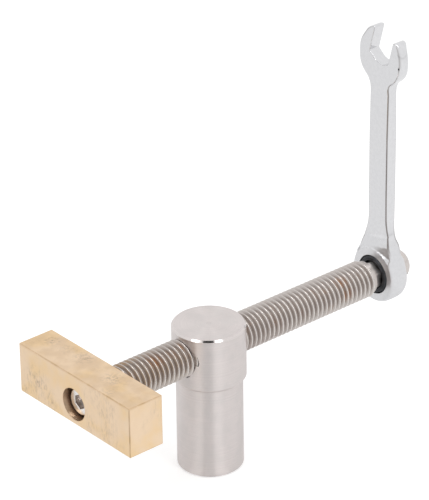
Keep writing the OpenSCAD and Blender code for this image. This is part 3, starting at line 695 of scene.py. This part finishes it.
def worn_brass(tree):
    """Milled brass bar: pale tan, dulled by handling, with grey smudges, a few upright scratches and a
    darker colour along the edges."""
    where = add(tree, "TexCoord", output="Object")
    part = add(tree, "SeparateXYZ", [where]).node.outputs
    under = []
    for axis, middle, half in zip("XYZ", JAW_MIDDLE, JAW_HALF):
        away = add(tree, "Math", [part[axis], middle * MM], operation="SUBTRACT")
        away = add(tree, "Math", [away], operation="ABSOLUTE")
        under.append(add(tree, "Math", [half * MM, away], operation="SUBTRACT"))
    # The middle one of the depths under the three pairs of faces is small only near an edge
    lesser = add(tree, "Math", under[:2], operation="MINIMUM")
    greater = add(tree, "Math", under[:2], operation="MAXIMUM")
    greater = add(tree, "Math", [greater, under[2]], operation="MINIMUM")
    depth = add(tree, "Math", [lesser, greater], operation="MAXIMUM")
    # Blotches about 2 mm across
    blotch = add(tree, "TexNoise", {"Vector": where, "Scale": 1 / (2 * MM), "Detail": 4})
    # Smudges about 9 mm across and in a few places, broken up at about 1 mm, somewhat upright
    upright = add(tree, "VectorMath", [where, (1, 1, 0.4)], operation="MULTIPLY")
    speck = add(tree, "TexNoise", {
        "Vector": upright, "Scale": 1 / (0.9 * MM), "Detail": 8, "Roughness": 0.75})
    speck = add(tree, "MapRange", [speck, 0.44, 0.66, 0, 1], **SMOOTH)
    patch = add(tree, "TexNoise", {"Vector": where, "Scale": 1 / (9 * MM), "Detail": 4})
    patch = add(tree, "MapRange", [patch, 0.5, 0.75, 0, 0.5], **SMOOTH)
    for middle, radius in (((-19.5, -42.5, JAW_TOP_Z), 4.0), ((-5.6, -41.8, JAW_TOP_Z), 5.0),
                           ((9.0, -43.0, JAW_TOP_Z), 5.0), ((-10.5, JAW_FRONT_Y, 6.5), 5.0),
                           ((-17.0, JAW_FRONT_Y, 10.0), 8.0), ((-23.5, JAW_FRONT_Y, 5.0), 4.0)):
        patch = add(tree, "Math", [patch, spot(tree, where, middle, radius)], operation="MAXIMUM")
    smudge = add(tree, "Math", [patch, speck], operation="MULTIPLY")
    smudge = add(tree, "Math", [smudge, 0.6], operation="MULTIPLY")
    # Scratches about 0.35 mm apart, long and upright, right of the bolt
    upright = add(tree, "VectorMath", [where, (1, 1, 0.04)], operation="MULTIPLY")
    scratch = add(tree, "TexNoise", {"Vector": upright, "Scale": 1 / (0.35 * MM), "Detail": 2})
    scratch = add(tree, "MapRange", [scratch, 0.58, 0.75, 0, 0.35], **SMOOTH)
    beside = spot(tree, where, (15.5, JAW_FRONT_Y, 11.0), 9.0)
    scratch = add(tree, "Math", [scratch, beside], operation="MULTIPLY")
    # Darker along the edges, uneven at about 4 mm
    uneven = add(tree, "TexNoise", {"Vector": where, "Scale": 1 / (4 * MM), "Detail": 3})
    uneven = add(tree, "MapRange", [uneven, 0.4, 0.65, 0.25, 0.6], **SMOOTH)
    edge = add(tree, "MapRange", [depth, 0.05 * MM, 0.5 * MM, 1, 0], **SMOOTH)
    edge = add(tree, "Math", [edge, uneven], operation="MULTIPLY")
    # The top is browner, in clouds about 5 mm across
    tan = add(tree, "TexNoise", {"Vector": where, "Scale": 1 / (5 * MM), "Detail": 5})
    tan = add(tree, "MapRange", [tan, 0.35, 0.65, 0.1, 0.45], **SMOOTH)
    top = add(tree, "MapRange", [part["Z"], (JAW_TOP_Z - 1) * MM, JAW_TOP_Z * MM, 0, 1], **SMOOTH)
    tan = add(tree, "Math", [tan, top], operation="MULTIPLY")
    # Old grease and painted shade darken the counterbore, more so deeper in
    near = add(tree, "MapRange", [from_screw(tree, where), (COUNTERBORE_R + 0.15) * MM,
                                  (COUNTERBORE_R + 0.3) * MM, 1, 0], **SMOOTH)
    grime_and_painted_shade = add(tree, "MapRange", [part["Y"], JAW_FRONT_Y * MM, (JAW_FRONT_Y + 1.8) * MM, 0.15, 0.4],
                **SMOOTH)
    grime_and_painted_shade = add(tree, "Math", [near, grime_and_painted_shade], operation="MULTIPLY")
    # Golden patches about 8 mm across where the brass is less dulled
    golden = add(tree, "TexNoise", {"Vector": where, "Scale": 1 / (8 * MM), "Detail": 5})
    golden = add(tree, "MapRange", [golden, 0.4, 0.65, 0, 0.6], **SMOOTH)
    colour = add(tree, "Mix", {0: blotch, 6: linear("#e5caab"), 7: linear("#f1dbc0")}, 2, data_type="RGBA")
    for share, shade in ((golden, "#ebcb98"), (tan, "#cbae8c"), (smudge, "#8b7b70"), (scratch, "#a89684"),
                         (edge, "#a98a62"), (grime_and_painted_shade, "#8f5636")):
        colour = add(tree, "Mix", {0: share, 6: colour, 7: linear(shade)}, 2, data_type="RGBA")
    rough = add(tree, "MapRange", [blotch, 0.2, 0.8, 0.36, 0.48], **SMOOTH)
    at_edge = add(tree, "MapRange", [depth, 0.1 * MM, 0.4 * MM, 0.7, 0], **SMOOTH)
    rough = add(tree, "Math", [rough, at_edge], operation="MAXIMUM")
    return add(tree, "BsdfPrincipled", {"Base Color": colour, "Metallic": 1, "Roughness": rough})


def chrome_plate(tree):
    """Polished chrome plate over forged steel: pale grey, mirror-like, clouded by handling, with a trace
    of haze, a duller ring and a thin painted dark reflection along the edges."""
    where = add(tree, "TexCoord", output="Object")
    # Haze about 3 mm across, wipe marks about 1 mm
    haze = add(tree, "TexNoise", {"Vector": where, "Scale": 1 / (3 * MM), "Detail": 3})
    haze = add(tree, "MapRange", [haze, 0.2, 0.8, 0.05, 0.13], **SMOOTH)
    # The ring is duller, out to the foot of the handle
    dull = add(tree, "MapRange", [from_screw(tree, where), 11.5 * MM, 14.5 * MM, 0.36, 0], **SMOOTH)
    rough = add(tree, "Math", [haze, dull], operation="MAXIMUM")
    wiped = add(tree, "TexNoise", {"Vector": where, "Scale": 1 / (1 * MM), "Detail": 6, "Roughness": 0.65})
    wiped = add(tree, "MapRange", [wiped, 0.3, 0.7, 0, 1], **SMOOTH)
    colour = add(tree, "Mix", {0: wiped, 6: linear("#d9d9db"), 7: linear("#dfdfe1")}, 2, data_type="RGBA")
    # Painted reflection: a thin dark line along the marked edges, where dark surroundings would show
    edge = add(tree, "Attribute", output="Fac", attribute_name="edge")
    colour = add(tree, "Mix", {0: edge, 6: colour, 7: linear("#8d8886")}, 2, data_type="RGBA")
    return add(tree, "BsdfPrincipled", {"Base Color": colour, "Metallic": 1, "Roughness": rough})


def bright_steel(tree):
    """Bright steel of bolt and spring: pale, fine-grained satin, with brown grease and painted shade in
    the bolt's socket and round the rim and the side of its head."""
    where = add(tree, "TexCoord", output="Object")
    part = add(tree, "SeparateXYZ", [where]).node.outputs
    out = from_screw(tree, where)
    # The socket's corners lie 2.3 mm from its middle
    socket = add(tree, "MapRange", [out, 2.35 * MM, 2.4 * MM, 0.4, 0], **SMOOTH)
    behind = add(tree, "MapRange", [part["Y"], BOLT_FACE_Y * MM, (BOLT_FACE_Y + 0.1) * MM, 0, 1], **SMOOTH)
    socket = add(tree, "Math", [socket, behind], operation="MULTIPLY")
    rim = add(tree, "MapRange", [out, (BOLT_HEAD_R - 0.5) * MM, (BOLT_HEAD_R - 0.3) * MM, 0, 0.7], **SMOOTH)
    at_head = add(tree, "MapRange", [part["Y"], -40 * MM, -30 * MM, 1, 0], **SMOOTH)
    rim = add(tree, "Math", [rim, at_head], operation="MULTIPLY")
    # Grease and painted shade: the socket's recess and the head's rim and side are darkened
    grease_and_painted_shade = add(tree, "Math", [socket, rim], operation="MAXIMUM")
    # Grain about 0.3 mm
    grain = add(tree, "TexNoise", {"Vector": where, "Scale": 1 / (0.3 * MM), "Detail": 3})
    colour = add(tree, "Mix", {0: grain, 6: linear("#dedcda"), 7: linear("#f2f0ee")}, 2, data_type="RGBA")
    colour = add(tree, "Mix", {0: grease_and_painted_shade, 6: colour, 7: linear("#755a49")}, 2, data_type="RGBA")
    return add(tree, "BsdfPrincipled", {"Base Color": colour, "Metallic": 1, "Roughness": 0.22})


def dull_steel_painted_shade(tree):
    """Dull steel of the washer under the bolt: brown-grey with old grease and painted shade."""
    return add(tree, "BsdfPrincipled", {"Base Color": linear("#6e6259"), "Metallic": 1, "Roughness": 0.45})


def black_oxide(tree):
    """Black oxide on hardened steel: near black, dry, with a faint grey bloom."""
    where = add(tree, "TexCoord", output="Object")
    # Bloom about 1 mm across
    bloom = add(tree, "TexNoise", {"Vector": where, "Scale": 1 / (1 * MM), "Detail": 3})
    colour = add(tree, "Mix", {0: bloom, 6: linear("#232427"), 7: linear("#4a4b4e")}, 2, data_type="RGBA")
    return add(tree, "BsdfPrincipled", {"Base Color": colour, "Metallic": 0.8, "Roughness": 0.42})


stainless = finish_material("turned_stainless", turned_stainless)
screw_steel = finish_material("rolled_screw_steel", rolled_steel)
brass = finish_material("milled_brass", worn_brass)
chrome = finish_material("chrome_plate", chrome_plate)
bolt_steel = finish_material("bright_steel", bright_steel)
washer_steel = finish_material("dull_steel_painted_shade", dull_steel_painted_shade)
oxide = finish_material("black_oxide", black_oxide)

for node_name, finish in {"dog_post": stainless, "jaw_block": brass, "jaw_washer": washer_steel,
                          "ratchet_gear": oxide, "ratchet_pawl": oxide, "gear_snap_ring": oxide}.items():
    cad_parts[node_name].data.materials.clear()
    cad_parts[node_name].data.materials.append(finish)

make_screw(screw_steel)
make_bolt(bolt_steel)
make_wrench(chrome)
make_spring(bolt_steel)

# Studio: a pale floor, a white surround, two soft boxes beside the camera, and dark boards that only
# reflections see. Lengths are in metres.

AZIMUTH, ELEVATION, ROLL = (math.radians(v) for v in (49.77, 28.01, -0.80))
DISTANCE = 0.88582
TARGET = np.array([3.13, 0.0, 43.11]) * MM
FOCAL_PX = 3088.79
PHOTO_HEIGHT_PX = 500
SENSOR_MM = 36
FLOOR_Z = FOOT_Z * MM - 0.0002
FLOOR_HALF = 6
# The dark wedge in the floor's reflection, and the flag that lies on it
WEDGE_TURN = AZIMUTH - math.radians(4.5)
FLAG_NEAR, FLAG_FAR, FLAG_SPREAD = 0.08, 0.105, 0.29
# Light of the surround where it isn't seen
AMBIENT = 0.75
SOFT_BOX_W, SOFT_BOX_H = 0.22, 0.5
SOFT_BOX_AWAY = 0.9
SOFT_BOX_RISE = math.radians(58)
SOFT_BOX_WATTS = 1.2


def pale_floor(tree):
    """Matt white table top that keeps the shadow; the part of its white that light doesn't give is its
    own. In reflections its white is plainer and lighter to the right, with a dark wedge towards the camera
    between two bright ones near the post, which draws the upright bands on it."""
    where = add(tree, "TexCoord", output="Object")
    part = add(tree, "SeparateXYZ", [where]).node.outputs
    turn_sin, turn_cos = math.sin(WEDGE_TURN), math.cos(WEDGE_TURN)
    along = add(tree, "Math", [add(tree, "Math", [part["X"], turn_sin], operation="MULTIPLY"),
                               add(tree, "Math", [part["Y"], turn_cos], operation="MULTIPLY")],
                operation="SUBTRACT")
    side = add(tree, "Math", [add(tree, "Math", [part["X"], turn_cos], operation="MULTIPLY"),
                              add(tree, "Math", [part["Y"], turn_sin], operation="MULTIPLY")],
               operation="ADD")
    angle = add(tree, "Math", [side, along], operation="ARCTAN2")
    angle = add(tree, "Math", [angle], operation="ABSOLUTE")
    # Close to the post the wedges narrow, so that the bands stay upright down to its foot
    radius = add(tree, "VectorMath", [where], "Value", operation="LENGTH")
    narrow = add(tree, "Math", [0.005, radius], operation="DIVIDE")
    narrow = add(tree, "Math", [1, narrow], operation="SUBTRACT")
    angle = add(tree, "Math", [angle, narrow], operation="DIVIDE")
    dark = add(tree, "MapRange", [angle, math.radians(12), math.radians(20), 1, 0], **SMOOTH)
    deeper = add(tree, "MapRange", [radius, 0.04, 0.10, 0.06, 0.27], **SMOOTH)
    dark = add(tree, "Math", [dark, deeper], operation="MULTIPLY")
    bright = add(tree, "MapRange", [angle, math.radians(15), math.radians(22), 0, 0.14], **SMOOTH)
    beside = add(tree, "MapRange", [angle, math.radians(40), math.radians(56), 1, 0], **SMOOTH)
    bright = add(tree, "Math", [bright, beside], operation="MULTIPLY")
    wedges = add(tree, "Math", [bright, dark], operation="SUBTRACT")
    close = add(tree, "MapRange", [radius, 0.115, 0.135, 1, 0], **SMOOTH)
    wedges = add(tree, "Math", [wedges, close], operation="MULTIPLY")
    plain = add(tree, "MapRange", [side, -0.05, 0.15, 0.30, 0.36], **SMOOTH)
    mirrored = add(tree, "Math", [wedges, plain], operation="ADD")
    path = add(tree, "LightPath").node.outputs
    own = add(tree, "Math", [path["Is Glossy Ray"], mirrored], operation="MULTIPLY")
    own = add(tree, "Math", [path["Is Camera Ray"], 0.5, own], operation="MULTIPLY_ADD")
    matt = add(tree, "BsdfDiffuse", {"Color": linear("#d8d8d8")})
    glow = add(tree, "Emission", {"Color": (1, 1, 1, 1), "Strength": own})
    return add(tree, "AddShader", [matt, glow])


def dark_cloth(tree):
    """Matt dark grey cloth."""
    return add(tree, "BsdfDiffuse", {"Color": linear("#4a4a4a")})


def flat_stage(name, corners, finish, only_mirrored=False):
    """A flat four-cornered stage piece from corners in metres; only_mirrored hides it from all but
    reflections."""
    mesh = bpy.data.meshes.new(name)
    mesh.from_pydata([tuple(float(v) for v in c) for c in corners], [], [(0, 1, 2, 3)])
    made = bpy.data.objects.new(name, mesh)
    scene.collection.objects.link(made)
    made.data.materials.append(finish)
    if only_mirrored:
        made.visible_camera = False
        made.visible_diffuse = False
        made.visible_shadow = False


def heading(azimuth, elevation):
    """Unit vector towards an azimuth, measured from -Y towards +X, and an elevation."""
    return np.array([math.sin(azimuth) * math.cos(elevation), -math.cos(azimuth) * math.cos(elevation),
                     math.sin(elevation)])


def facing(place, back, roll=0.0):
    """Matrix of a camera or lamp at a place whose back points along back, rolled about that."""
    right = unit(np.cross([0, 0, 1], back))
    up = np.cross(back, right)
    axes = [right * math.cos(roll) + up * math.sin(roll), up * math.cos(roll) - right * math.sin(roll), back]
    made = np.identity(4)
    made[:3] = np.stack([*axes, place], -1)
    return Matrix(made.tolist())


table = [(x * FLOOR_HALF, y * FLOOR_HALF, FLOOR_Z) for x, y in ((-1, -1), (1, -1), (1, 1), (-1, 1))]
flat_stage("floor", table, finish_material("matt_white_floor", pale_floor))

cloth = finish_material("dark_flag_cloth", dark_cloth)
sideways = np.array([math.cos(WEDGE_TURN), math.sin(WEDGE_TURN), 0]) * FLAG_SPREAD
flag = [(heading(WEDGE_TURN, 0) + sideways * w) * d + [0, 0, FLOOR_Z + 0.0005]
        for d, w in ((FLAG_NEAR, -1), (FLAG_NEAR, 1), (FLAG_FAR, 1), (FLAG_FAR, -1))]
flat_stage("camera_side_flag", flag, cloth, only_mirrored=True)
board = [heading(AZIMUTH + math.radians(turn), math.radians(rise))
         for turn, rise in ((-25, 42), (23, 42), (23, 78), (-25, 78))]
flat_stage("overhead_board", board, cloth, only_mirrored=True)

world = bpy.data.worlds.new("white_studio")
scene.world = world
world.use_nodes = True
world.node_tree.nodes.clear()
path = add(world.node_tree, "LightPath").node.outputs
seen = add(world.node_tree, "Math", [path["Is Camera Ray"], path["Is Glossy Ray"]], operation="MAXIMUM")
level = add(world.node_tree, "Math", [seen, 1 - AMBIENT, AMBIENT], operation="MULTIPLY_ADD")
white = add(world.node_tree, "Background", {"Color": (1, 1, 1, 1), "Strength": level})
add(world.node_tree, "OutputWorld", {"Surface": white})

for name, turn in (("soft_box_left", -54), ("soft_box_right", 41)):
    lamp = bpy.data.lights.new(name, "AREA")
    lamp.shape = "RECTANGLE"
    lamp.size = SOFT_BOX_W
    lamp.size_y = SOFT_BOX_H
    lamp.energy = SOFT_BOX_WATTS
    made = bpy.data.objects.new(name, lamp)
    scene.collection.objects.link(made)
    back = heading(AZIMUTH + math.radians(turn), SOFT_BOX_RISE)
    made.matrix_world = facing(back * SOFT_BOX_AWAY, back)
    made.visible_camera = False

lens = bpy.data.cameras.new("photo_camera")
lens.sensor_width = SENSOR_MM
lens.lens = SENSOR_MM * FOCAL_PX / PHOTO_HEIGHT_PX
camera = bpy.data.objects.new("photo_camera", lens)
scene.collection.objects.link(camera)
view_back = heading(AZIMUTH, ELEVATION)
camera.matrix_world = facing(TARGET + view_back * DISTANCE, view_back, ROLL)
scene.camera = camera

bpy.context.view_layer.update()
